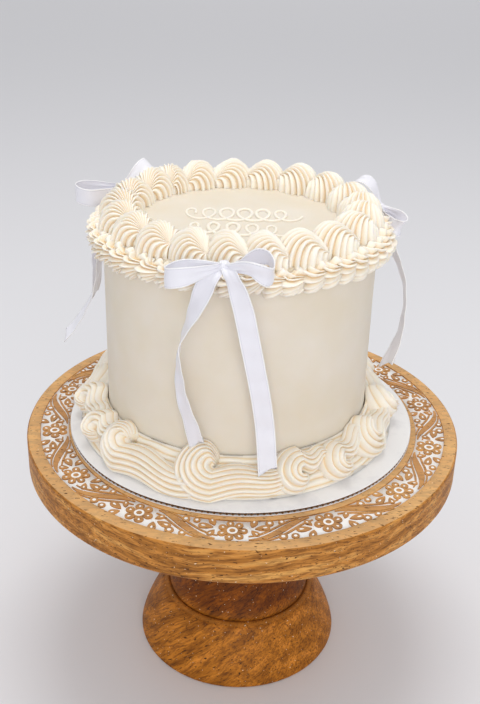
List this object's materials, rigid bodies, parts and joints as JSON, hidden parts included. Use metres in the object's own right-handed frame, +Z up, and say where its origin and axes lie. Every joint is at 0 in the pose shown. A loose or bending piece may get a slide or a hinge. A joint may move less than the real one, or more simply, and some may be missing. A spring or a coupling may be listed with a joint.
{
  "type": "layer cake on a stand",
  "caption": "Round cream cake with piped borders and ribbon bows, on a round board and a turned wooden pedestal stand with a carved band.",
  "frame": {"origin": "middle of the stand foot's underside, on the stand's axis, at the level of the table", "axes": "+Z up along the stand's axis, -Y towards the bow at the front, +X to the right of that bow"},
  "size_m": [0.254, 0.254, 0.2958],
  "materials": {
    "mango_wood": "golden-brown mango wood, oiled, with dark pores and a carved band filled with white",
    "dark_mango_wood": "darker turned mango wood, oiled to a low sheen",
    "white_board": null,
    "pale_cream": null,
    "cream": null,
    "satin_ribbon": "narrow white satin ribbon with woven edges"
  },
  "bodies": {
    "root": {"stand_plate": "mango_wood", "stand_foot": "dark_mango_wood", "cake_board": "white_board", "cake_body": "pale_cream", "top_border": "cream", "edge_border": "cream", "base_border": "cream", "bow_front": "satin_ribbon", "bow_right": "satin_ribbon", "bow_back_left": "satin_ribbon"}
  },
  "joints": []
}
